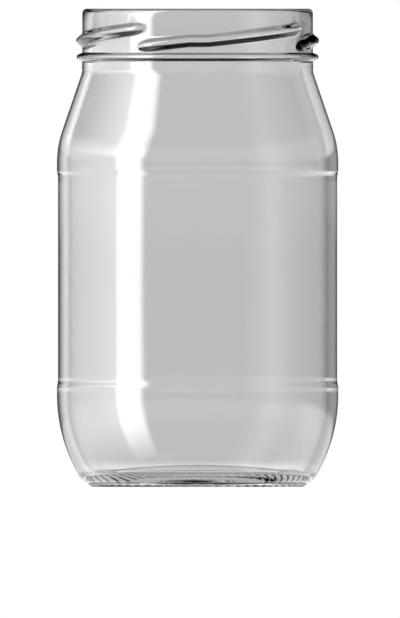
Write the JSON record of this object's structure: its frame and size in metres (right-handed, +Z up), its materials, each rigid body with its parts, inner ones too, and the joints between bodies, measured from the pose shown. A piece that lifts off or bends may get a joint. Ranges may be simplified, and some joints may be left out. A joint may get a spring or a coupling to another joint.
{
  "type": "twist-off glass jar",
  "caption": "Clear glass food jar with a recessed label panel, sloping shoulder, knurled foot and a lugged twist-off finish; empty, no closure.",
  "frame": {"origin": "centre of the foot's bearing plane, on the jar's axis", "axes": "+Z up along the jar's axis, from the foot to the rim; -Y is the front, where one closure lug's level landing lies"},
  "size_m": [0.073, 0.073, 0.1242],
  "materials": {
    "clear_glass": "clear container glass, fire-polished and smooth, with a faint cool grey cast in the wall"
  },
  "bodies": {
    "root": {"jar": "clear_glass"}
  },
  "joints": []
}
